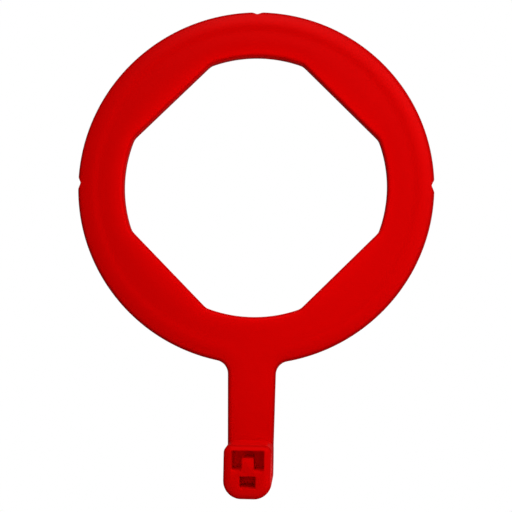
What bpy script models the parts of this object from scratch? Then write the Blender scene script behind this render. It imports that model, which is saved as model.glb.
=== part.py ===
"""A radiograph aiming ring: a flat ring with an eight-sided opening, a short stem and an arm socket.

The real object is one injection moulding. It is modelled here as its working regions: the ring that
the tube lines up with, the stem, and the socket that an indicator arm plugs into, which is a back and
the walls that stand on it. They meet face to face, a hair apart. The ring lies on its flat back, +Z
runs out of its front, +Y runs from the socket to the top of the ring, and the origin is below the
middle of the whole part. Metres.
"""

import math

import bmesh
import bpy

# Ring
RING_RADIUS = 0.0401
RING_THICKNESS = 0.0028          # back face to the flat land on the front
BEAD_HEIGHT = 0.00014            # raised rim above the land
BEAD_CREST_INSET = 0.0033        # outer edge to the top of the raised rim
BEAD_FOOT_INSET = 0.0050         # outer edge to where the raised rim meets the land
CROWN_DROP = 0.0005              # fall of the raised rim's crown towards the outer edge
RIM_EDGE = 0.0009                # rounding of the outer edge
BACK_EDGE = 0.00015              # chamfer round the back of every region

# Opening: four arcs on the axes and four flats on the diagonals
APERTURE_RADIUS = 0.02968
APERTURE_FLAT = 0.02708          # ring centre to each flat
APERTURE_CORNER = 0.0004         # how early an arc starts to turn into a flat
APERTURE_EDGE = 0.0007           # rounding of the opening's front edge
DISH_SHARE = 0.72                # part of the land that falls towards the opening
DISH_DROP = 0.00045

# Alignment notches at twelve, three and nine o'clock
NOTCH_DEPTH = 0.0007
NOTCH_WIDTH = 0.0029
NOTCH_TIP_RADIUS = 0.0006
NOTCH_ANGLES = (0.0, 90.0, 180.0)

# Stem
STEM_LENGTH = 0.0164             # ring's edge to the socket
STEM_ROOT_WIDTH = 0.01055
STEM_END_WIDTH = 0.01005
STEM_EDGE_RADIUS = 0.0010
ROOT_FILLET = 0.0030

# Arm socket
SOCKET_LENGTH = 0.0110           # along Y
SOCKET_HEIGHT = 0.0140           # back face to front face
SOCKET_INNER_CORNER = 0.0017     # the two corners beside the stem
SOCKET_OUTER_CORNER = 0.0037     # the two corners at the free end
SOCKET_BEND = 0.0060             # back of the free end, seen from the side
SOCKET_EDGE = 0.0011             # round the front face

# Pockets in the socket's front face
POCKET_FLOOR = 0.0060            # plastic left behind the pockets
KEYWAY_OFFSET = 0.0011           # socket's inner wall to the keyway
KEYWAY_WIDTH = 0.0068
KEYWAY_LENGTH = 0.00415
KEYWAY_BAR = 0.0016              # straight part that joins the two legs
TONGUE_WIDTH = 0.0024            # plastic standing between the legs
POCKET_WEB = 0.00105             # keyway to the square pocket
SQUARE_WIDTH = 0.0034
SQUARE_LENGTH = 0.00245

REGION_GAP = 0.0003              # clearance where two regions meet
CUTTER_MARGIN = 0.0010           # how far a cutter runs past what it cuts

# Facets
RING_STEPS = 144
CURVE_STEPS = 6
DISH_STEPS = 6
FILLET_STEPS = 8
EDGE_SEGMENTS = 3

# Finish: one red moulding compound
PLASTIC_COLOR = (0.62, 0.004, 0.004, 1.0)
PLASTIC_ROUGHNESS = 0.38

# Places along Y that follow from the sizes
OVERALL_LENGTH = 2 * RING_RADIUS + STEM_LENGTH + SOCKET_LENGTH
RING_CENTRE = OVERALL_LENGTH / 2 - RING_RADIUS
SOCKET_INNER = RING_CENTRE - RING_RADIUS - STEM_LENGTH
SOCKET_OUTER = SOCKET_INNER - SOCKET_LENGTH
KEYWAY_INNER = SOCKET_INNER - KEYWAY_OFFSET
KEYWAY_OUTER = KEYWAY_INNER - KEYWAY_LENGTH
SQUARE_INNER = KEYWAY_OUTER - POCKET_WEB
SQUARE_OUTER = SQUARE_INNER - SQUARE_LENGTH


def arc(centre_x, centre_y, radius, start, end, steps):
    """Points on an arc, both ends included; angles in radians."""
    angles = [start + (end - start) * i / steps for i in range(steps + 1)]
    return [(centre_x + radius * math.cos(a), centre_y + radius * math.sin(a)) for a in angles]


def smoothstep(value):
    """Ease from 0 to 1 with level ends."""
    value = min(max(value, 0.0), 1.0)
    return value * value * (3 - 2 * value)


def aperture_radius(angle):
    """Distance from the ring's centre to the opening's edge, with its corners blended."""
    quarter = math.pi / 2
    from_diagonal = (angle % quarter) - quarter / 2
    flat = APERTURE_FLAT / math.cos(from_diagonal)
    overlap = max(APERTURE_CORNER - abs(flat - APERTURE_RADIUS), 0.0)
    return min(flat, APERTURE_RADIUS) - overlap * overlap / (4 * APERTURE_CORNER)


def add_object(name, mesh_source):
    """Turn a bmesh into a named object in the scene."""
    bmesh.ops.remove_doubles(mesh_source, verts=mesh_source.verts, dist=1e-7)
    bmesh.ops.recalc_face_normals(mesh_source, faces=mesh_source.faces)
    mesh = bpy.data.meshes.new(name)
    mesh_source.to_mesh(mesh)
    mesh_source.free()
    part = bpy.data.objects.new(name, mesh)
    bpy.context.collection.objects.link(part)
    return part


def prism_mesh(outline, low, high):
    """A closed prism over a plan outline."""
    source = bmesh.new()
    face = source.faces.new([source.verts.new((x, y, low)) for x, y in outline])
    extruded = bmesh.ops.extrude_face_region(source, geom=[face])
    top = [item for item in extruded["geom"] if isinstance(item, bmesh.types.BMVert)]
    bmesh.ops.translate(source, verts=top, vec=(0, 0, high - low))
    return source


def level_edges(source, height):
    """Edges that lie at one height."""
    return [e for e in source.edges if all(abs(v.co.z - height) < 1e-7 for v in e.verts)]


def round_edges(source, edges, width, segments):
    """Round or chamfer a set of edges."""
    bmesh.ops.bevel(
        source, geom=edges, offset=width, offset_type="OFFSET", affect="EDGES",
        segments=segments, profile=0.5, clamp_overlap=False, material=-1,
    )


def boolean(part, cutter, operation):
    """Cut or trim a part with a helper solid, and hide the helper."""
    modifier = part.modifiers.new(cutter.name, "BOOLEAN")
    modifier.object = cutter
    modifier.operation = operation
    modifier.solver = "EXACT"
    cutter.hide_render = True
    cutter.display_type = "WIRE"


def fall(distance, width, drop):
    """Parabola that falls from 0 a width inside an edge to the full drop at the edge."""
    reach = min(max(1 - distance / width, 0.0), 1.0)
    return drop * reach * reach


def round_fall(distance, radius):
    """Quarter circle that rounds an edge off."""
    reach = min(max(1 - distance / radius, 0.0), 1.0)
    return radius * (1 - math.sqrt(1 - reach * reach))


def front_height(radius, opening):
    """Height of the ring's front: a dished land and a raised, crowned rim with rounded edges."""
    from_rim = RING_RADIUS - radius
    from_opening = radius - opening
    dish_width = DISH_SHARE * (RING_RADIUS - BEAD_FOOT_INSET - opening)
    slope = BEAD_FOOT_INSET - BEAD_CREST_INSET
    height = RING_THICKNESS + BEAD_HEIGHT * (1 - smoothstep((from_rim - BEAD_CREST_INSET) / slope))
    height -= fall(from_rim, BEAD_CREST_INSET, CROWN_DROP) + fall(from_opening, dish_width, DISH_DROP)
    return height - round_fall(from_rim, RIM_EDGE) - round_fall(from_opening, APERTURE_EDGE)


def ring_rows():
    """Rows of the ring's front from the opening outwards, as (radius, share of the opening's pull)."""
    foot = RING_RADIUS - BEAD_FOOT_INSET
    crest = RING_RADIUS - BEAD_CREST_INSET
    turns = [math.pi / 2 * i / CURVE_STEPS for i in range(CURVE_STEPS + 1)]
    rows = [(APERTURE_RADIUS + APERTURE_EDGE * (1 - math.cos(turn)), 1.0) for turn in turns]
    land = APERTURE_RADIUS + APERTURE_EDGE
    for i in range(1, DISH_STEPS):
        share = i / DISH_STEPS
        rows.append((land + (foot - land) * share, 1 - share))
    rows += [(foot + (crest - foot) * i / EDGE_SEGMENTS, 0.0) for i in range(EDGE_SEGMENTS)]
    rim = RING_RADIUS - RIM_EDGE
    rows += [(crest + (rim - crest) * i / EDGE_SEGMENTS, 0.0) for i in range(EDGE_SEGMENTS)]
    return rows + [(rim + RIM_EDGE * math.sin(turn), 0.0) for turn in turns]


def ring_section():
    """Closed section of the ring as (radius, height, share of the opening's pull)."""
    inner = APERTURE_RADIUS
    points = [(inner + BACK_EDGE, 0.0, 1.0), (inner, BACK_EDGE, 1.0)]
    points += [(radius, front_height(radius, inner), pull) for radius, pull in ring_rows()]
    points += [(RING_RADIUS, BACK_EDGE, 0.0), (RING_RADIUS - BACK_EDGE, 0.0, 0.0)]
    return points


def stem_share(x, y):
    """How far a point near the bottom of the ring belongs to the stem's flat top, 0 to 1."""
    half = STEM_ROOT_WIDTH / 2 - STEM_EDGE_RADIUS
    if y > 0:
        return 0.0
    return 1 - smoothstep((abs(x) - half) / (ROOT_FILLET + STEM_EDGE_RADIUS))


def build_ring():
    """Spin the section, then pull its inner side to the opening's outline."""
    source = bmesh.new()
    section = ring_section()
    pull_layer = source.verts.layers.float.new("pull")
    loop = []
    for radius, height, pull in section:
        vert = source.verts.new((radius, 0.0, height))
        vert[pull_layer] = pull
        loop.append(vert)
    edges = [source.edges.new((a, b)) for a, b in zip(loop, loop[1:] + loop[:1])]
    bmesh.ops.spin(
        source, geom=loop + edges, cent=(0, 0, 0), axis=(0, 0, 1), angle=2 * math.pi,
        steps=RING_STEPS, use_merge=True, use_normal_flip=False, use_duplicate=False,
    )
    foot = RING_RADIUS - BEAD_FOOT_INSET
    for vert in source.verts:
        x, y, height = vert.co
        radius = math.hypot(x, y)
        inward = vert[pull_layer] * (APERTURE_RADIUS - aperture_radius(math.atan2(y, x)))
        vert.co.x -= x / radius * inward
        vert.co.y -= y / radius * inward
        if radius > foot and height > BACK_EDGE:
            vert.co.z += (RING_THICKNESS - height) * stem_share(x, y)
    bmesh.ops.translate(source, verts=source.verts, vec=(0, RING_CENTRE, 0))
    ring = add_object("aiming_ring", source)
    for angle in NOTCH_ANGLES:
        boolean(ring, build_notch_cutter(angle), "DIFFERENCE")
    return ring


def build_notch_cutter(angle):
    """A vee with a round tip that cuts one alignment notch in the ring's edge."""
    half = NOTCH_WIDTH / 2
    mouth = RING_RADIUS
    slope = math.atan2(half, NOTCH_DEPTH)
    tip_centre = mouth - NOTCH_DEPTH + NOTCH_TIP_RADIUS
    turn = math.pi / 2 - slope
    outline = arc(tip_centre, 0.0, NOTCH_TIP_RADIUS, math.pi + turn, math.pi - turn, CURVE_STEPS)
    reach = mouth + CUTTER_MARGIN
    spread = half + CUTTER_MARGIN * math.tan(slope)
    outline = [(reach, -spread)] + outline + [(reach, spread)]
    source = prism_mesh(outline, -CUTTER_MARGIN, RING_THICKNESS + CUTTER_MARGIN)
    cutter = add_object("notch_cutter_%d" % angle, source)
    cutter.location.y = RING_CENTRE
    cutter.rotation_euler.z = math.radians(angle)
    return cutter


def build_stem():
    """A flared plate with rounded long edges, hollowed at its top to follow the ring's edge."""
    root = STEM_ROOT_WIDTH / 2
    end = STEM_END_WIDTH / 2
    fillet_x = root + ROOT_FILLET
    fillet_y = -math.sqrt((RING_RADIUS + ROOT_FILLET) ** 2 - fillet_x ** 2)
    towards_ring = math.atan2(-fillet_y, -fillet_x)
    right = arc(fillet_x, fillet_y, ROOT_FILLET, towards_ring, math.pi, FILLET_STEPS)
    inside = -RING_RADIUS + ROOT_FILLET
    right = [(right[0][0], inside)] + right
    right.append((end, SOCKET_INNER + REGION_GAP - RING_CENTRE))
    outline = right + [(-x, y) for x, y in reversed(right)]
    source = prism_mesh([(x, y + RING_CENTRE) for x, y in outline], 0.0, RING_THICKNESS)
    sides = [e for e in level_edges(source, RING_THICKNESS) if side_edge(e)]
    round_edges(source, sides, STEM_EDGE_RADIUS, EDGE_SEGMENTS)
    under = [e for e in level_edges(source, 0.0) if side_edge(e)]
    round_edges(source, under, BACK_EDGE, 1)
    stem = add_object("stem", source)
    boolean(stem, build_ring_clearance(), "DIFFERENCE")
    return stem


def side_edge(edge):
    """Whether an edge of the stem's plan runs along one of its two long sides."""
    first, second = edge.verts
    return first.co.x * second.co.x > 0


def build_ring_clearance():
    """A disc that is the ring's outline and a gap, taken out of the stem."""
    source = bmesh.new()
    bmesh.ops.create_cone(
        source, cap_ends=True, segments=RING_STEPS, radius1=RING_RADIUS + REGION_GAP,
        radius2=RING_RADIUS + REGION_GAP, depth=2 * RING_THICKNESS + 2 * CUTTER_MARGIN,
    )
    bmesh.ops.translate(source, verts=source.verts, vec=(0, RING_CENTRE, 0))
    return add_object("ring_clearance", source)


def socket_block(name, low, high, front_edge):
    """A slice of the socket's outside: rounded corners, and a back that bends up at the free end."""
    half = STEM_END_WIDTH / 2
    inner = SOCKET_INNER - SOCKET_INNER_CORNER
    outer = SOCKET_OUTER + SOCKET_OUTER_CORNER
    inner_x = half - SOCKET_INNER_CORNER
    outer_x = half - SOCKET_OUTER_CORNER
    right = arc(outer_x, outer, SOCKET_OUTER_CORNER, -math.pi / 2, 0.0, FILLET_STEPS)
    right += arc(inner_x, inner, SOCKET_INNER_CORNER, 0.0, math.pi / 2, CURVE_STEPS)
    outline = right + [(-x, y) for x, y in reversed(right)]
    source = prism_mesh(outline, low, high)
    if front_edge > 0:
        round_edges(source, level_edges(source, high), front_edge, EDGE_SEGMENTS)
    block = add_object(name, source)
    boolean(block, build_bend_trimmer(name + "_trimmer"), "INTERSECT")
    return block


def build_socket_back():
    """The closed back of the socket, which is the floor of both pockets."""
    return socket_block("socket_back", 0.0, POCKET_FLOOR, 0.0)


def build_socket_walls():
    """The walls that stand on the socket's back, with the two pockets that an arm plugs into."""
    walls = socket_block("arm_socket", POCKET_FLOOR + REGION_GAP, SOCKET_HEIGHT, SOCKET_EDGE)
    boolean(walls, build_pocket_cutter("keyway_cutter", keyway_outline()), "DIFFERENCE")
    boolean(walls, build_pocket_cutter("square_cutter", square_outline()), "DIFFERENCE")
    return walls


def build_bend_trimmer(name):
    """The socket seen from the side: its back turns up in a wide bend at the free end."""
    far = SOCKET_OUTER - REGION_GAP
    near = SOCKET_INNER + CUTTER_MARGIN
    high = SOCKET_HEIGHT + CUTTER_MARGIN
    bend_y = SOCKET_OUTER + SOCKET_BEND
    side = arc(bend_y, SOCKET_BEND, SOCKET_BEND, -math.pi / 2, -math.pi, FILLET_STEPS)
    side += [(far, SOCKET_BEND), (far, high), (near, high), (near, 0.0)]
    width = STEM_END_WIDTH + 2 * CUTTER_MARGIN
    source = prism_mesh(side, -width / 2, width / 2)
    for vert in source.verts:
        across, up, along = vert.co
        vert.co = (along, across, up)
    return add_object(name, source)


def keyway_outline():
    """Plan of the keyway: a bar and two legs on either side of a standing tongue."""
    half = KEYWAY_WIDTH / 2
    tongue = TONGUE_WIDTH / 2
    bar = KEYWAY_INNER - KEYWAY_BAR
    right = [(tongue, bar), (tongue, KEYWAY_OUTER), (half, KEYWAY_OUTER), (half, KEYWAY_INNER)]
    return right + [(-x, y) for x, y in reversed(right)]


def square_outline():
    """Plan of the square pocket near the socket's free end."""
    half = SQUARE_WIDTH / 2
    return [(-half, SQUARE_OUTER), (half, SQUARE_OUTER), (half, SQUARE_INNER), (-half, SQUARE_INNER)]


def build_pocket_cutter(name, outline):
    """A prism that sinks one pocket into the socket's front face."""
    source = prism_mesh(outline, POCKET_FLOOR, SOCKET_HEIGHT + CUTTER_MARGIN)
    return add_object(name, source)


def red_plastic():
    """The moulding compound that the whole part is made of."""
    material = bpy.data.materials.new("red_plastic")
    material.use_nodes = True
    shader = material.node_tree.nodes["Principled BSDF"]
    shader.inputs["Base Color"].default_value = PLASTIC_COLOR
    shader.inputs["Roughness"].default_value = PLASTIC_ROUGHNESS
    shader.inputs["Metallic"].default_value = 0.0
    material.diffuse_color = PLASTIC_COLOR
    return material


def main():
    """Clear the scene and build the regions."""
    for item in list(bpy.data.objects):
        bpy.data.objects.remove(item, do_unlink=True)
    plastic = red_plastic()
    for part in (build_ring(), build_stem(), build_socket_back(), build_socket_walls()):
        part.data.materials.append(plastic)
        part.data.shade_smooth()
        part.data.set_sharp_from_angle(angle=math.radians(30.0))


main()
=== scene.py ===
"""Looks for the radiograph aiming ring: one red moulding, the studio round it and the camera.

The moulding is one continuous skin made of a ring plate, its stem and an arm socket, and it stands for
every CAD region. The ring plate is a plan that is spun about the ring's axis in sectors, drawn out into
the stem and given its section. The socket is an extruded block with two blind pockets. Metres, in the
frame of the CAD model: the back lies on z = 0 and +Y runs from the socket to the top of the ring.
"""

import logging
import math
from dataclasses import dataclass, field
from enum import Enum

import bmesh
import bpy
from mathutils import Matrix, Vector


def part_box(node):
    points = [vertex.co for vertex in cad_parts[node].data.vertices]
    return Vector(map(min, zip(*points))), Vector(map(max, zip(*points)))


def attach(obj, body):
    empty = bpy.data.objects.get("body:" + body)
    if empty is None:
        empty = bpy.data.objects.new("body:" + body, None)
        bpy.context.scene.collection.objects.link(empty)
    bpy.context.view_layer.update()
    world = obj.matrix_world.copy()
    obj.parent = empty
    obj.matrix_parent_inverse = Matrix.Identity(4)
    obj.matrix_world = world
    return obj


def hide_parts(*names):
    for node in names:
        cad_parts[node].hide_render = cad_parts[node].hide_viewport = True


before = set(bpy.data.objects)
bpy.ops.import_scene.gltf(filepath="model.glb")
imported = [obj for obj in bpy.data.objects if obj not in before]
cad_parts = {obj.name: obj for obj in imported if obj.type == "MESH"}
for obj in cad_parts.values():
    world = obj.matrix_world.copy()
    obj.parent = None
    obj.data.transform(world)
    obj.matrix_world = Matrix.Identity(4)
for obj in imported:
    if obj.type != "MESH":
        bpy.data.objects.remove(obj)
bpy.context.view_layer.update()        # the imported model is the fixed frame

QUARTER_TURN = math.pi / 2
DOUBLE_DISTANCE = 1e-7
RIM_SLACK = 1e-6        # a point this little inside the ring's radius is still on its rim
COLUMN_SLACK = 1e-4     # and one this little past the last column is still in the stem's sector
MOUTH_TURN = 0.5        # least change of a normal's z across the edge of a pocket's mouth
PlanPoint = tuple[float, float]

log = logging.getLogger("aiming_ring")


# ---------------------------------------------------------------- small tools


def smoothstep(value: float) -> float:
    """Ease from 0 to 1 with level ends."""
    value = min(max(value, 0.0), 1.0)
    return value * value * (3.0 - 2.0 * value)


def between(first: float, second: float, share: float) -> float:
    """The value a share of the way from first to second."""
    return first + (second - first) * share


def round_fall(distance: float, width: float, drop: float) -> float:
    """How far an edge's quarter ellipse has fallen.

    Args:
        distance: how far inside the edge the point lies.
        width: how far in the rounding starts.
        drop: the fall at the edge itself.

    Returns:
        The fall at that distance, 0 past the width.
    """
    reach = min(max(1.0 - distance / width, 0.0), 1.0)
    return drop * (1.0 - math.sqrt(1.0 - reach * reach))


def crown_fall(distance: float, width: float, drop: float) -> float:
    """How far a shallow crown has fallen towards an edge.

    Args:
        distance: how far inside the edge the point lies.
        width: how far in the crown starts.
        drop: the fall at the edge itself.

    Returns:
        The fall at that distance, 0 past the width.
    """
    reach = min(max(1.0 - distance / width, 0.0), 1.0)
    return drop * reach * reach


def round_steps(count: int) -> list[float]:
    """Shares of a rounding's width, close together at its steep end."""
    return [1.0 - math.cos(QUARTER_TURN * i / count) for i in range(count + 1)]


def arc(centre: PlanPoint, radius: float, start: float, end: float, steps: int) -> list[PlanPoint]:
    """Points on an arc.

    Args:
        centre: middle of the arc in plan.
        radius: radius of the arc.
        start: first angle in radians.
        end: last angle in radians.
        steps: number of chords.

    Returns:
        The points in order, both ends included.
    """
    angles = [between(start, end, i / steps) for i in range(steps + 1)]
    return [(centre[0] + radius * math.cos(a), centre[1] + radius * math.sin(a)) for a in angles]


def soft_corners(outline: list[PlanPoint], radius: float, steps: int) -> list[PlanPoint]:
    """Round every corner of a right-angled outline.

    Args:
        outline: corners in order, each side along X or Y.
        radius: corner radius.
        steps: chords on each corner.

    Returns:
        The rounded outline.
    """
    rounded = []
    for i, corner in enumerate(outline):
        here = Vector(corner)
        back = (Vector(outline[i - 1]) - here).normalized() * radius
        ahead = (Vector(outline[(i + 1) % len(outline)]) - here).normalized() * radius
        for step in range(steps + 1):
            turn = QUARTER_TURN * step / steps
            point = here + back + ahead - back * math.sin(turn) - ahead * math.cos(turn)
            rounded.append((point.x, point.y))
    return rounded


def prism(outline: list[Vector], along: Vector) -> bmesh.types.BMesh:
    """Extrude an outline into a closed prism.

    Args:
        outline: the corners of one end, in order.
        along: the way to the other end.

    Returns:
        The prism.
    """
    source = bmesh.new()
    face = source.faces.new([source.verts.new(corner) for corner in outline])
    lifted = bmesh.ops.extrude_face_region(source, geom=[face])["geom"]
    far_end = [item for item in lifted if isinstance(item, bmesh.types.BMVert)]
    bmesh.ops.translate(source, verts=far_end, vec=along)
    return source


def new_object(name: str, source: bmesh.types.BMesh) -> bpy.types.Object:
    """Close a mesh's seams, face it outwards and put it in the scene.

    Args:
        name: the object's name.
        source: the mesh, which is freed.

    Returns:
        The new object.
    """
    bmesh.ops.remove_doubles(source, verts=source.verts, dist=DOUBLE_DISTANCE)
    bmesh.ops.recalc_face_normals(source, faces=source.faces)
    mesh = bpy.data.meshes.new(name)
    source.to_mesh(mesh)
    source.free()
    piece = bpy.data.objects.new(name, mesh)
    bpy.context.scene.collection.objects.link(piece)
    return piece


class Join(Enum):
    """How a helper solid works on a piece."""

    ADD = "UNION"
    CUT = "DIFFERENCE"
    TRIM = "INTERSECT"


def combine(piece: bpy.types.Object, helper: bpy.types.Object, how: Join) -> None:
    """Work a helper solid into a piece, then throw the helper away.

    Args:
        piece: the object that is kept.
        helper: the closed solid that is used up.
        how: add, cut or trim.
    """
    modifier = piece.modifiers.new(how.name, "BOOLEAN")
    modifier.object = helper
    modifier.operation = how.value
    modifier.solver = "EXACT"
    graph = bpy.context.evaluated_depsgraph_get()
    mesh = bpy.data.meshes.new_from_object(piece.evaluated_get(graph), depsgraph=graph)
    piece.modifiers.clear()
    old_mesh = piece.data
    mesh.name = piece.name
    piece.data = mesh
    bpy.data.meshes.remove(old_mesh)
    helper_mesh = helper.data
    bpy.data.objects.remove(helper)
    bpy.data.meshes.remove(helper_mesh)


# ---------------------------------------------------------------- ring and stem


class Level(Enum):
    """Storeys of the ring plate's wall, from its back to its front."""

    BACK = 0
    CORNER = 1
    WALL = 2
    FRONT = 3


@dataclass
class RingPlate:
    """The flat ring and its stem: one plate with a flat back and a moulded front."""

    radius: float = 0.0401
    bead_crest_inset: float = 0.0033        # crest of the raised rim, from the outer edge
    bead_foot_inset: float = 0.0050         # where the rim has sunk to the land
    crown_drop: float = 0.0005              # fall from the crest to the outer edge
    rim_edge: float = 0.0009                # rounding of the front along the outer edge
    back_edge: float = 0.00015              # rounding of the back's edges
    back_reach: float = 0.0030              # how far in the back's points make room for it
    opening_radius: float = 0.02968         # the opening's four arcs
    opening_flat: float = 0.02708           # and its four flats, from the ring's centre
    opening_corner: float = 0.0003          # how early an arc starts to turn into a flat
    opening_edge: float = 0.0007            # rounding of the front along the opening
    dish_share: float = 0.72                # how much of the land is dished
    dish_drop: float = 0.00045              # fall of the dish to the opening
    notch_depth: float = 0.00070
    notch_half_width: float = 0.00145
    notch_tip: float = 0.00030              # roundness of the vee's tip
    notch_angles: tuple[float, ...] = (0.0, QUARTER_TURN, math.pi)
    notch_sector: float = math.radians(6.0)
    root_half_width: float = 0.005275       # the stem where its fillets end
    root_fillet: float = 0.0030
    stem_edge: float = 0.0010               # rounding of the front along the stem
    stem_crown: float = 0.00012             # fall from the stem's middle to its edges
    stem_fade: float = math.radians(6.0)    # how far round the ring the stem's section fades out
    fade_at_root: float = 0.3               # its share where a fillet meets the ring
    overlap: float = 0.0019                 # how far the stem runs into the socket
    plain_steps: int = 112
    notch_steps: int = 48
    stem_columns: int = 64
    edge_rows: int = 8
    land_rows: int = 12
    bead_rows: int = 6
    crown_rows: int = 6
    fillet_rows: int = 14
    stem_rows: int = 22
    centre_y: float = field(init=False)
    thickness: float = field(init=False)
    bead_height: float = field(init=False)
    end_half_width: float = field(init=False)
    end_y: float = field(init=False)

    def __post_init__(self) -> None:
        """Take the places that the frame gives."""
        ring_low, ring_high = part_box("aiming_ring")
        stem_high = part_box("stem")[1]
        socket_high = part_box("arm_socket")[1]
        self.centre_y = ring_low.y + self.radius
        self.thickness = stem_high.z
        self.bead_height = ring_high.z - stem_high.z
        self.end_half_width = socket_high.x
        self.end_y = socket_high.y - self.centre_y

    @property
    def fillet_centre(self) -> PlanPoint:
        """Middle of the fillet on the right of the stem's root."""
        across = self.root_half_width + self.root_fillet
        return across, -math.sqrt((self.radius + self.root_fillet) ** 2 - across ** 2)

    @property
    def root_angle(self) -> float:
        """Angle from straight down to where the fillet leaves the ring."""
        across, down = self.fillet_centre
        return math.atan2(across, -down)

    def half_width(self, y: float) -> float:
        """Half the stem's width at a place along it."""
        start = self.fillet_centre[1]
        return between(self.root_half_width, self.end_half_width, (y - start) / (self.end_y - start))

    def opening_at(self, angle: float) -> float:
        """Distance from the ring's centre to the edge of its opening.

        Args:
            angle: direction in radians.

        Returns:
            The distance, with the corners between arcs and flats blended.
        """
        from_diagonal = (angle % QUARTER_TURN) - QUARTER_TURN / 2
        flat = self.opening_flat / math.cos(from_diagonal)
        overlap = max(self.opening_corner - abs(flat - self.opening_radius), 0.0)
        return min(flat, self.opening_radius) - overlap * overlap / (4 * self.opening_corner)

    def dish_width(self, opening: float) -> float:
        """How far the dish reaches from the edge of the opening."""
        return self.dish_share * (self.radius - self.bead_foot_inset - opening)

    def notch_at(self, angle: float) -> float:
        """Depth of the notches' rounded vee.

        Args:
            angle: direction in radians.

        Returns:
            How far the edge is set in, 0 away from the notches.
        """
        turns = [math.remainder(angle - notch, 2 * math.pi) for notch in self.notch_angles]
        away = min(abs(turn) for turn in turns) * self.radius
        full = math.hypot(self.notch_half_width, self.notch_tip) - self.notch_tip
        climb = math.hypot(away, self.notch_tip) - self.notch_tip
        return max(self.notch_depth * (1.0 - climb / full), 0.0)

    def edge(self, x: float, y: float) -> tuple[float, Vector, float]:
        """Where a plan point lies against the outer outline.

        Args:
            x: across, from the ring's centre.
            y: along, from the ring's centre.

        Returns:
            The distance inside the outline, the direction inwards, and the stem's share from 0 on the
            ring to 1 on the stem.
        """
        side = math.copysign(1.0, x)
        fillet_x, fillet_y = self.fillet_centre
        if y <= fillet_y:
            return self.half_width(y) - abs(x), Vector((-side, 0.0)), 1.0
        from_fillet = Vector((abs(x) - fillet_x, y - fillet_y))
        turn = math.atan2(from_fillet.y, -from_fillet.x)
        full = math.atan2(-fillet_y, fillet_x)
        if y < 0 and turn < full:
            share = between(1.0, self.fade_at_root, turn / full)
            inwards = Vector((side * from_fillet.x, from_fillet.y)).normalized()
            return from_fillet.length - self.root_fillet, inwards, smoothstep(share)
        past_root = math.atan2(abs(x), -y) - self.root_angle
        share = self.fade_at_root * (1.0 - past_root / self.stem_fade)
        from_centre = Vector((x, y))
        return self.radius - from_centre.length, -from_centre.normalized(), smoothstep(share)

    def front_height(self, x: float, y: float) -> float:
        """Height of the front: a dished land, a raised rim and rounded edges.

        Args:
            x: across, from the ring's centre.
            y: along, from the ring's centre.

        Returns:
            The height above the back.
        """
        distance, _, share = self.edge(x, y)
        slope = self.bead_foot_inset - self.bead_crest_inset
        bead = 1.0 - smoothstep((distance - self.bead_crest_inset) / slope)
        edge = between(self.rim_edge, self.stem_edge, share)
        opening = self.opening_at(math.atan2(y, x))
        from_opening = math.hypot(x, y) - opening
        height = self.thickness + self.bead_height * bead * (1.0 - share)
        height -= crown_fall(distance, self.bead_crest_inset, self.crown_drop * (1.0 - share))
        height -= crown_fall(distance, self.end_half_width, self.stem_crown * share)
        height -= crown_fall(from_opening, self.dish_width(opening), self.dish_drop)
        height -= round_fall(distance, edge, edge)
        return height - round_fall(from_opening, self.opening_edge, self.opening_edge)

    def radial_rows(self) -> list[tuple[float, float]]:
        """Rows of the ring's plan, as (radius, share of the opening's pull)."""
        edge_end = self.opening_radius + self.opening_edge
        foot = self.radius - self.bead_foot_inset
        crest = self.radius - self.bead_crest_inset
        rim = self.radius - self.rim_edge
        rows = [(self.opening_radius + self.opening_edge * s, 1.0) for s in round_steps(self.edge_rows)]
        for i in range(1, self.land_rows):
            rows.append((between(edge_end, foot, i / self.land_rows), 1.0 - i / self.land_rows))
        rows += [(between(foot, crest, i / self.bead_rows), 0.0) for i in range(self.bead_rows)]
        rows += [(between(crest, rim, i / self.crown_rows), 0.0) for i in range(self.crown_rows)]
        edge = [self.radius - self.rim_edge * s for s in round_steps(self.edge_rows)]
        return rows + [(r, 0.0) for r in reversed(edge)]

    def sectors(self) -> list[tuple[float, int]]:
        """Sectors of the spin from the stem's right side round to it again, as (angle, steps)."""
        step = (QUARTER_TURN - self.notch_sector) / self.plain_steps
        side = QUARTER_TURN - self.root_angle - self.notch_sector / 2
        plain = (QUARTER_TURN - self.notch_sector, self.plain_steps)
        notch = (self.notch_sector, self.notch_steps)
        ends = (side, round(side / step))
        return [ends, notch, plain, notch, plain, notch, ends, (2 * self.root_angle, self.stem_columns)]

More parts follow.
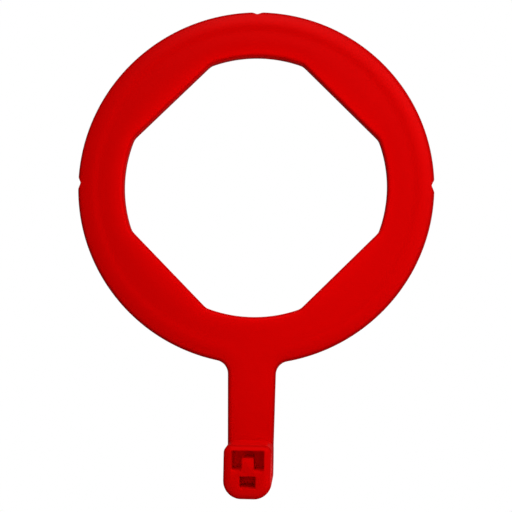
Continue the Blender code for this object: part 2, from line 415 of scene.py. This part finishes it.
    def spin_plan(self) -> bmesh.types.BMesh:
        """Spin the ring's plan, then pull it to the opening's outline and the notches.

        Returns:
            The flat plan, each point marked with its column, which is from -1 to 1 in the stem's sector.
        """
        plan = bmesh.new()
        pull_layer = plan.verts.layers.float.new("pull")
        column_layer = plan.verts.layers.float.new("column")
        start = self.root_angle - QUARTER_TURN
        line = []
        for radius, pull in self.radial_rows():
            vert = plan.verts.new((radius * math.cos(start), radius * math.sin(start), 0.0))
            vert[pull_layer] = pull
            line.append(vert)
        last = line + [plan.edges.new(pair) for pair in zip(line, line[1:])]
        for angle, steps in self.sectors():
            spun = bmesh.ops.spin(
                plan, geom=last, cent=(0, 0, 0), axis=(0, 0, 1), angle=angle, steps=steps,
                use_merge=False, use_normal_flip=False, use_duplicate=False,
            )
            last = spun["geom_last"]
        bmesh.ops.remove_doubles(plan, verts=plan.verts, dist=DOUBLE_DISTANCE)
        crest = self.radius - self.bead_crest_inset
        for vert in plan.verts:
            radius = math.hypot(vert.co.x, vert.co.y)
            angle = math.atan2(vert.co.y, vert.co.x)
            inward = vert[pull_layer] * (self.opening_radius - self.opening_at(angle))
            rim = max((radius - crest) / self.bead_crest_inset, 0.0)
            vert.co *= (radius - inward - rim * self.notch_at(angle)) / radius
            vert[column_layer] = math.remainder(angle + QUARTER_TURN, 2 * math.pi) / self.root_angle
        return plan

    def stem_point(self, column: float, row: int) -> PlanPoint:
        """A point of the stem's plan.

        Args:
            column: from -1 at the left edge to 1 at the right edge.
            row: from 0 at the ring to the last row, inside the socket.

        Returns:
            The point, from the ring's centre.
        """
        fillet_x, fillet_y = self.fillet_centre
        full = math.atan2(-fillet_y, fillet_x)
        share = min(row / self.fillet_rows, 1.0)
        turn = full * (1.0 - share)
        edge_x = fillet_x - self.root_fillet * math.cos(turn)
        edge_y = fillet_y + self.root_fillet * math.sin(turn)
        middle_y = between(-self.radius, fillet_y, share)
        if row > self.fillet_rows:
            along = (row - self.fillet_rows) / self.stem_rows
            edge_y = middle_y = between(fillet_y, self.end_y - self.overlap, along)
            edge_x = self.half_width(edge_y)
        even = math.sin(column * self.root_angle) / math.sin(self.root_angle)
        spread = between(even, math.sin(column * QUARTER_TURN), smoothstep(share))
        return edge_x * spread, between(middle_y, edge_y, column * column)

    def draw_stem(self, plan: bmesh.types.BMesh) -> None:
        """Draw the ring's edge out row by row into the stem."""
        column_layer = plan.verts.layers.float["column"]
        rim = self.radius - RIM_SLACK
        last_column = 1.0 + COLUMN_SLACK
        edges = [
            e for e in plan.edges
            if all(v.co.length > rim and abs(v[column_layer]) < last_column for v in e.verts)
        ]
        for row in range(1, self.fillet_rows + self.stem_rows + 1):
            drawn = bmesh.ops.extrude_edge_only(plan, edges=edges)["geom"]
            fresh = {item for item in drawn if isinstance(item, bmesh.types.BMVert)}
            for vert in fresh:
                vert.co.x, vert.co.y = self.stem_point(vert[column_layer], row)
            edges = [e for e in drawn if isinstance(e, bmesh.types.BMEdge) and set(e.verts) <= fresh]

    def raise_section(self, plan: bmesh.types.BMesh) -> None:
        """Give the flat plan its thickness: a moulded front, a wall and an edge round the back."""
        storeys = len(Level) - 1
        lifted = bmesh.ops.extrude_face_region(plan, geom=list(plan.faces))["geom"]
        front = [item for item in lifted if isinstance(item, bmesh.types.BMVert)]
        bmesh.ops.translate(plan, verts=front, vec=(0, 0, storeys))
        upright = [e for e in plan.edges if abs(e.verts[0].co.z - e.verts[1].co.z) > storeys / 2]
        bmesh.ops.subdivide_edges(plan, edges=upright, cuts=storeys - 1)
        corner = self.back_edge * (1.0 - math.cos(QUARTER_TURN / 2))
        heights = {Level.BACK: 0.0, Level.CORNER: corner, Level.WALL: self.back_edge}
        insets = {Level.BACK: self.back_edge, Level.CORNER: corner, Level.WALL: 0.0}
        for vert in plan.verts:
            level = Level(round(vert.co.z))
            x, y = vert.co.x, vert.co.y
            if level is Level.FRONT:
                vert.co.z = self.front_height(x, y)
                continue
            outer, inwards, _ = self.edge(x, y)
            opening = math.hypot(x, y) - self.opening_at(math.atan2(y, x))
            if opening < outer:
                inwards = Vector((x, y)).normalized()
            reach = max(1.0 - min(outer, opening) / self.back_reach, 0.0)
            vert.co.x += inwards.x * insets[level] * reach
            vert.co.y += inwards.y * insets[level] * reach
            vert.co.z = heights[level]

    def build(self) -> bpy.types.Object:
        """Make the plate.

        Returns:
            The ring and stem as one closed object.
        """
        plan = self.spin_plan()
        self.draw_stem(plan)
        self.raise_section(plan)
        bmesh.ops.translate(plan, verts=plan.verts, vec=(0, self.centre_y, 0))
        return new_object("ring_and_stem", plan)


# ---------------------------------------------------------------- arm socket


@dataclass
class ArmSocket:
    """The upright socket at the stem's end, with a keyway and a square pocket for an arm."""

    inner_corner: float = 0.0017            # plan radius of the corners beside the stem
    outer_corner: float = 0.0037            # and of those at the free end
    bend: float = 0.0060                    # back of the free end, seen from the side
    front_edge_width: float = 0.0024        # ellipse that the front's edge follows
    front_edge_inset: float = 0.0016        # how far in it is followed
    front_edge_drop: float = 0.00095
    keyway_offset: float = 0.0011           # from the stem's side of the socket
    keyway_width: float = 0.0068
    keyway_length: float = 0.00415
    keyway_bar: float = 0.0016              # the keyway above its tongue
    tongue_width: float = 0.0024
    pocket_web: float = 0.00105             # between the keyway and the square pocket
    square_width: float = 0.0034
    square_length: float = 0.00245
    pocket_corner: float = 0.00025
    mouth_edge: float = 0.0002              # rounding of the pockets' mouths
    pocket_slack: float = 0.0001            # room for a place on a pocket's own walls
    margin: float = 0.0010                  # how far a cutting solid stands out of the block
    corner_steps: int = 12
    bend_steps: int = 20
    edge_steps: int = 8
    mouth_steps: int = 3
    pocket_steps: int = 4
    low: Vector = field(init=False)
    high: Vector = field(init=False)
    floor: float = field(init=False)

    def __post_init__(self) -> None:
        """Take the places that the frame gives."""
        self.low, self.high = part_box("arm_socket")
        self.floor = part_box("socket_back")[1].z

    def outline(self) -> list[PlanPoint]:
        """The socket's plan, with two small corners by the stem and two large ones at its free end."""
        half = self.high.x
        outer = (half - self.outer_corner, self.low.y + self.outer_corner)
        inner = (half - self.inner_corner, self.high.y - self.inner_corner)
        right = arc(outer, self.outer_corner, -QUARTER_TURN, 0.0, self.corner_steps)
        right += arc(inner, self.inner_corner, 0.0, QUARTER_TURN, self.corner_steps)
        return right + [(-x, y) for x, y in reversed(right)]

    def keyway(self) -> list[PlanPoint]:
        """Plan of the keyway: a bar and two legs on either side of a standing tongue."""
        inner = self.high.y - self.keyway_offset
        outer = inner - self.keyway_length
        half = self.keyway_width / 2
        tongue = self.tongue_width / 2
        bar = inner - self.keyway_bar
        right = [(tongue, bar), (tongue, outer), (half, outer), (half, inner)]
        return right + [(-x, y) for x, y in reversed(right)]

    def square(self) -> list[PlanPoint]:
        """Plan of the square pocket near the free end."""
        inner = self.high.y - self.keyway_offset - self.keyway_length - self.pocket_web
        outer = inner - self.square_length
        half = self.square_width / 2
        return [(-half, outer), (half, outer), (half, inner), (-half, inner)]

    def block(self) -> bpy.types.Object:
        """The plain block: its plan raised to the front, where the edge rolls over."""
        outline = [Vector((x, y, 0.0)) for x, y in self.outline()]
        source = prism(outline, Vector((0.0, 0.0, self.high.z - self.front_edge_drop)))
        top = max(source.faces, key=lambda face: face.calc_center_median().z)
        insets = [self.front_edge_inset * share for share in round_steps(self.edge_steps)]
        rise = round_fall(self.front_edge_inset, self.front_edge_width, self.front_edge_drop)
        scale = self.front_edge_drop / (self.front_edge_drop - rise)
        for before, after in zip(insets, insets[1:]):
            bmesh.ops.inset_region(source, faces=[top], thickness=after - before, use_even_offset=True)
            lift = round_fall(before, self.front_edge_width, self.front_edge_drop)
            lift -= round_fall(after, self.front_edge_width, self.front_edge_drop)
            bmesh.ops.translate(source, verts=top.verts, vec=(0, 0, lift * scale))
        return new_object("arm_socket_block", source)

    def bend_trimmer(self) -> bpy.types.Object:
        """The socket seen from the side: its back turns up in a wide bend at the free end."""
        far = self.low.y - self.margin
        near = self.high.y + self.margin
        high = self.high.z + self.margin
        centre = (self.low.y + self.bend, self.bend)
        side = arc(centre, self.bend, -QUARTER_TURN, -math.pi, self.bend_steps)
        side += [(far, self.bend), (far, high), (near, high), (near, 0.0)]
        half = self.high.x + self.margin
        outline = [Vector((-half, y, z)) for y, z in side]
        return new_object("bend_trimmer", prism(outline, Vector((2 * half, 0.0, 0.0))))

    def pocket(self, outline: list[PlanPoint]) -> bpy.types.Object:
        """A solid that sinks one pocket, with rounded corners.

        Args:
            outline: the pocket's plan, with sharp corners.

        Returns:
            The cutting solid.
        """
        corners = soft_corners(outline, self.pocket_corner, self.pocket_steps)
        points = [Vector((x, y, self.floor)) for x, y in corners]
        depth = self.high.z + self.margin - self.floor
        return new_object("pocket_cutter", prism(points, Vector((0.0, 0.0, depth))))

    def over_pockets(self, place: Vector) -> bool:
        """Whether a place lies within the rectangle round both pockets' plans, edges included."""
        inner = self.high.y - self.keyway_offset + self.pocket_slack
        outer = inner - self.keyway_length - self.pocket_web - self.square_length - 2 * self.pocket_slack
        return abs(place.x) < self.keyway_width / 2 + self.pocket_slack and outer < place.y < inner

    def in_pockets(self, place: Vector) -> bool:
        """Whether a place on the skin is inside one of the pockets, below its mouth."""
        floor = self.floor - self.pocket_slack
        return self.over_pockets(place) and floor < place.z < self.high.z - 2 * self.mouth_edge

    def round_mouths(self, socket: bpy.types.Object) -> None:
        """Round the edge where each pocket breaks through the front.

        Args:
            socket: the block with its pockets cut.
        """
        source = bmesh.new()
        source.from_mesh(socket.data)
        level = self.high.z - self.front_edge_drop / 2
        edges = [
            e for e in source.edges
            if all(v.co.z > level and self.over_pockets(v.co) for v in e.verts)
            and abs(e.link_faces[0].normal.z - e.link_faces[1].normal.z) > MOUTH_TURN
        ]
        bmesh.ops.bevel(
            source, geom=edges, offset=self.mouth_edge, offset_type="OFFSET", affect="EDGES",
            segments=self.mouth_steps, profile=0.5, clamp_overlap=True, material=-1,
        )
        source.to_mesh(socket.data)
        source.free()

    def build(self) -> bpy.types.Object:
        """Make the socket.

        Returns:
            The socket as one closed object.
        """
        socket = self.block()
        combine(socket, self.bend_trimmer(), Join.TRIM)
        combine(socket, self.pocket(self.keyway()), Join.CUT)
        combine(socket, self.pocket(self.square()), Join.CUT)
        self.round_mouths(socket)
        return socket


# ---------------------------------------------------------------- finish


@dataclass(frozen=True)
class MouldedRed:
    """Satin red moulding compound, through-coloured, with a fine moulded grain.

    Light and shade are painted into the base colour: a painted highlight that grows towards the ring's
    opening, and painted light on the upright walls and inside the socket's pockets. Scales are in waves
    per metre.
    """

    name: str = "moulded_red"
    colour: tuple[float, float, float, float] = (0.50, 0.0004, 0.0004, 1.0)
    # painted highlight: the base colour grows lighter towards the ring's opening, read from a point
    # attribute
    painted_highlight_attribute: str = "painted_land_highlight"
    # painted light: upright walls and pocket insides get a lighter base colour, read from a face
    # attribute
    painted_wall_light_attribute: str = "painted_wall_light"
    painted_highlight_gain: float = 0.25
    painted_wall_light_gain: float = 0.90
    cloud_scale: float = 130.0
    cloud_gain: float = 0.035
    mottle_scale: float = 900.0
    mottle_gain: float = 0.02
    roughness: float = 0.34
    roughness_spread: float = 0.05
    roughness_scale: float = 420.0
    specular_tint: tuple[float, float, float, float] = (1.0, 0.0, 0.0, 1.0)
    grain_scale: float = 2600.0
    grain_height: float = 0.0000012
    wave_scale: float = 160.0
    wave_height: float = 0.000008

    def material(self) -> bpy.types.Material:
        """Make the finish.

        Returns:
            The material.
        """
        material = bpy.data.materials.new(self.name)
        material.use_nodes = True
        tree = material.node_tree
        shader = tree.nodes["Principled BSDF"]
        place = tree.nodes.new("ShaderNodeTexCoord").outputs["Object"]
        shader.inputs["Specular Tint"].default_value = self.specular_tint
        tree.links.new(self.tone(tree, place), shader.inputs["Base Color"])
        spread = self.noise(tree, place, self.roughness_scale)
        smoothest = self.roughness - self.roughness_spread
        rough = self.scaled(tree, spread, 2 * self.roughness_spread, smoothest)
        tree.links.new(rough, shader.inputs["Roughness"])
        tree.links.new(self.surface(tree, place), shader.inputs["Normal"])
        return material

    def noise(
        self, tree: bpy.types.NodeTree, place: bpy.types.NodeSocket, scale: float,
    ) -> bpy.types.NodeSocket:
        """Noise over the object's own coordinates.

        Args:
            tree: the node tree.
            place: the coordinates.
            scale: waves per metre.

        Returns:
            The noise, from 0 to 1.
        """
        texture = tree.nodes.new("ShaderNodeTexNoise")
        texture.inputs["Scale"].default_value = scale
        tree.links.new(place, texture.inputs["Vector"])
        return texture.outputs["Fac"]

    def scaled(
        self, tree: bpy.types.NodeTree, value: bpy.types.NodeSocket, gain: float, offset: float,
    ) -> bpy.types.NodeSocket:
        """A value times a gain plus an offset.

        Args:
            tree: the node tree.
            value: the value.
            gain: what it is multiplied by.
            offset: what is added.

        Returns:
            The new value.
        """
        sums = tree.nodes.new("ShaderNodeMath")
        sums.operation = "MULTIPLY_ADD"
        tree.links.new(value, sums.inputs[0])
        sums.inputs[1].default_value = gain
        sums.inputs[2].default_value = offset
        return sums.outputs["Value"]

    def attribute(self, tree: bpy.types.NodeTree, name: str) -> bpy.types.NodeSocket:
        """One of the skin's stored attributes."""
        stored = tree.nodes.new("ShaderNodeAttribute")
        stored.attribute_name = name
        return stored.outputs["Fac"]

    def tone(self, tree: bpy.types.NodeTree, place: bpy.types.NodeSocket) -> bpy.types.NodeSocket:
        """The red with painted light, lighter towards the ring's opening, on upright walls and in the
        pockets, with faint clouds and mottling.

        Args:
            tree: the node tree.
            place: the coordinates.

        Returns:
            The base colour.
        """
        clouds = self.noise(tree, place, self.cloud_scale)
        mottle = self.noise(tree, place, self.mottle_scale)
        parts = [
            # painted light: the first two factors brighten the red towards the opening, on walls and in
            # pockets
            self.scaled(tree, self.attribute(tree, self.painted_highlight_attribute), self.painted_highlight_gain, 1.0),
            self.scaled(tree, self.attribute(tree, self.painted_wall_light_attribute), self.painted_wall_light_gain, 1.0),
            self.scaled(tree, clouds, self.cloud_gain, 1.0 - self.cloud_gain / 2),
            self.scaled(tree, mottle, self.mottle_gain, 1.0 - self.mottle_gain / 2),
        ]
        strength = parts[0]
        for part in parts[1:]:
            product = tree.nodes.new("ShaderNodeMath")
            product.operation = "MULTIPLY"
            tree.links.new(strength, product.inputs[0])
            tree.links.new(part, product.inputs[1])
            strength = product.outputs["Value"]
        colour = tree.nodes.new("ShaderNodeVectorMath")
        colour.operation = "SCALE"
        colour.inputs[0].default_value = self.colour[:3]
        tree.links.new(strength, colour.inputs["Scale"])
        return colour.outputs["Vector"]

    def surface(self, tree: bpy.types.NodeTree, place: bpy.types.NodeSocket) -> bpy.types.NodeSocket:
        """The skin's slight waviness and fine grain.

        Args:
            tree: the node tree.
            place: the coordinates.

        Returns:
            The bent normal.
        """
        normal = None
        layers = ((self.wave_scale, self.wave_height), (self.grain_scale, self.grain_height))
        for scale, height in layers:
            bump = tree.nodes.new("ShaderNodeBump")
            bump.inputs["Distance"].default_value = height
            tree.links.new(self.noise(tree, place, scale), bump.inputs["Height"])
            if normal is not None:
                tree.links.new(normal, bump.inputs["Normal"])
            normal = bump.outputs["Normal"]
        return normal


@dataclass
class Moulding:
    """The whole part: one red moulding of the ring, its stem and the arm socket."""

    ring_plate: RingPlate = field(default_factory=RingPlate)
    socket: ArmSocket = field(default_factory=ArmSocket)
    finish: MouldedRed = field(default_factory=MouldedRed)
    sharp_angle: float = math.radians(32.0)
    painted_light_fade: float = 0.6                  # z of a wall's normal where its painted light has faded out
    pocket_painted_light: float = 0.62              # painted light inside the pockets, lifting their shade

    def painted_light_at(self, place: Vector) -> float:
        """How much painted highlight the base colour gets at a place, from 0 to 1.

        Args:
            place: a point of the moulding's skin.

        Returns:
            A share that grows towards the ring's opening.
        """
        plate = self.ring_plate
        x, y = place.x, place.y - plate.centre_y
        opening = plate.opening_at(math.atan2(y, x))
        return crown_fall(math.hypot(x, y) - opening, plate.dish_width(opening), 1.0)

    def store_painted_light(self, moulding: bpy.types.Object) -> None:
        """Store on the skin how much painted light it gets: a painted highlight by point on the ring,
        painted light by face on walls and in pockets.

        Args:
            moulding: the piece.
        """
        mesh = moulding.data
        painted_light_layer = mesh.attributes.new(self.finish.painted_highlight_attribute, "FLOAT", "POINT")
        for i, vert in enumerate(mesh.vertices):
            # painted highlight, growing towards the ring's opening
            painted_light_layer.data[i].value = self.painted_light_at(vert.co)
        painted_light_layer = mesh.attributes.new(self.finish.painted_wall_light_attribute, "FLOAT", "FACE")
        for i, face in enumerate(mesh.polygons):
            # painted light: pocket faces get a fixed share that lifts their shade, and walls get more
            # the further they face sideways
            if self.socket.in_pockets(face.center):
                painted_light_layer.data[i].value = self.pocket_painted_light
            elif not self.socket.over_pockets(face.center):
                painted_light_layer.data[i].value = smoothstep(1.0 - abs(face.normal.z) / self.painted_light_fade)

    def build(self) -> bpy.types.Object:
        """Make the moulding and put it in the frame.

        Returns:
            The finished piece.
        """
        moulding = self.ring_plate.build()
        combine(moulding, self.socket.build(), Join.ADD)
        moulding.name = moulding.data.name = "aiming_ring_moulding"
        moulding.data.materials.clear()
        moulding.data.materials.append(self.finish.material())
        self.store_painted_light(moulding)
        moulding.data.shade_smooth()
        moulding.data.set_sharp_from_angle(angle=self.sharp_angle)
        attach(moulding, "root")
        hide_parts("aiming_ring", "stem", "socket_back", "arm_socket")
        return moulding


# ---------------------------------------------------------------- studio


@dataclass(frozen=True)
class Softbox:
    """A soft area light that points at the middle of the ring unless it has an aim of its own."""

    name: str
    place: tuple[float, float, float]
    size: float
    power: float
    aim: tuple[float, float, float] = (0.0, 0.0137, 0.0)
    spread: float = math.pi

    def build(self) -> None:
        """Hang the light."""
        light = bpy.data.lights.new(self.name, "AREA")
        light.size = self.size
        light.energy = self.power
        light.spread = self.spread
        lamp = bpy.data.objects.new(self.name, light)
        lamp.location = self.place
        lamp.rotation_euler = (Vector(self.aim) - lamp.location).to_track_quat("-Z", "Y").to_euler()
        bpy.context.scene.collection.objects.link(lamp)


@dataclass
class Studio:
    """Pale floor, soft light and the camera, whose turn is an axis times an angle in radians."""

    floor_size: float = 4.0
    floor_colour: tuple[float, float, float, float] = (0.05, 0.05, 0.05, 1.0)
    white: tuple[float, float, float, float] = (1.0, 1.0, 1.0, 1.0)
    camera_place: tuple[float, float, float] = (0.009857, -0.023941, 0.20818)
    camera_turn: tuple[float, float, float] = (0.104308, 0.044337, 0.013465)
    lens: float = 65.495
    softboxes: tuple[Softbox, ...] = (
        Softbox("top_softbox", (0.0, 0.40, 0.40), 0.40, 0.802),
        Softbox("top_fill", (0.0, 0.25, 0.30), 0.15, 0.281),
        Softbox("upper_right_softbox", (0.12, 0.11, 0.18), 0.10, 0.185),
        Softbox("right_softbox", (0.14, 0.01, 0.18), 0.10, 0.096),
        Softbox("lower_right_softbox", (0.12, -0.09, 0.18), 0.10, 0.0725),
        Softbox("bottom_softbox", (0.0, -0.25, 0.30), 0.15, 0.134),
        Softbox("lower_left_softbox", (-0.18, -0.20, 0.28), 0.15, 0.103),
        Softbox("left_fill", (-0.22, 0.05, 0.30), 0.15, 0.012),
        Softbox("camera_softbox", (0.011, -0.026, 0.25), 0.08, 0.071),
        Softbox("overhead_softbox", (0.0, 0.0, 0.30), 0.25, 0.032),
        Softbox("overhead_left", (-0.03, 0.04, 0.30), 0.08, 0.029),
        Softbox("overhead_right", (0.06, 0.014, 0.25), 0.08, 0.034),
        Softbox(
            "socket_kicker", (0.10, -0.056, 0.009), 0.01, 0.00018,
            aim=(0.0, -0.051, 0.009), spread=math.radians(10.0),
        ),
    )

    def build_floor(self) -> None:
        """Lay the floor that the part's back lies on: it shows white and throws little light back."""
        source = bmesh.new()
        bmesh.ops.create_grid(source, x_segments=1, y_segments=1, size=self.floor_size / 2)
        floor = new_object("studio_floor", source)
        material = bpy.data.materials.new("floor_white")
        material.use_nodes = True
        nodes = material.node_tree.nodes
        links = material.node_tree.links
        nodes.clear()
        shown = nodes.new("ShaderNodeEmission")
        shown.inputs["Color"].default_value = self.white
        lit = nodes.new("ShaderNodeBsdfDiffuse")
        lit.inputs["Color"].default_value = self.floor_colour
        rays = nodes.new("ShaderNodeLightPath")
        mix = nodes.new("ShaderNodeMixShader")
        output = nodes.new("ShaderNodeOutputMaterial")
        links.new(rays.outputs["Is Camera Ray"], mix.inputs["Fac"])
        links.new(lit.outputs["BSDF"], mix.inputs[1])
        links.new(shown.outputs["Emission"], mix.inputs[2])
        links.new(mix.outputs["Shader"], output.inputs["Surface"])
        floor.data.materials.append(material)

    def build_world(self) -> None:
        """Show a white backdrop that throws no light on the part."""
        world = bpy.data.worlds.new("studio_world")
        world.use_nodes = True
        nodes = world.node_tree.nodes
        background = nodes["Background"]
        background.inputs["Color"].default_value = self.white
        rays = nodes.new("ShaderNodeLightPath")
        world.node_tree.links.new(rays.outputs["Is Camera Ray"], background.inputs["Strength"])
        bpy.context.scene.world = world

    def build_camera(self) -> None:
        """Set the camera up."""
        data = bpy.data.cameras.new("camera")
        data.lens = self.lens
        camera = bpy.data.objects.new("camera", data)
        turn = Vector(self.camera_turn)
        spin = Matrix.Rotation(turn.length, 4, turn.normalized())
        camera.matrix_world = Matrix.Translation(self.camera_place) @ spin
        bpy.context.scene.collection.objects.link(camera)
        bpy.context.scene.camera = camera

    def build(self) -> None:
        """Build the whole studio."""
        self.build_floor()
        self.build_world()
        for softbox in self.softboxes:
            softbox.build()
        self.build_camera()
        bpy.context.scene.view_settings.view_transform = "Standard"


def main() -> None:
    """Build the part and its studio, and report each piece."""
    logging.basicConfig(level=logging.INFO, format="%(name)s: %(message)s")
    moulding = Moulding()
    piece = moulding.build()
    log.info("%s: %d faces", piece.name, len(piece.data.polygons))
    Studio().build()


if __name__ == "__main__":
    main()
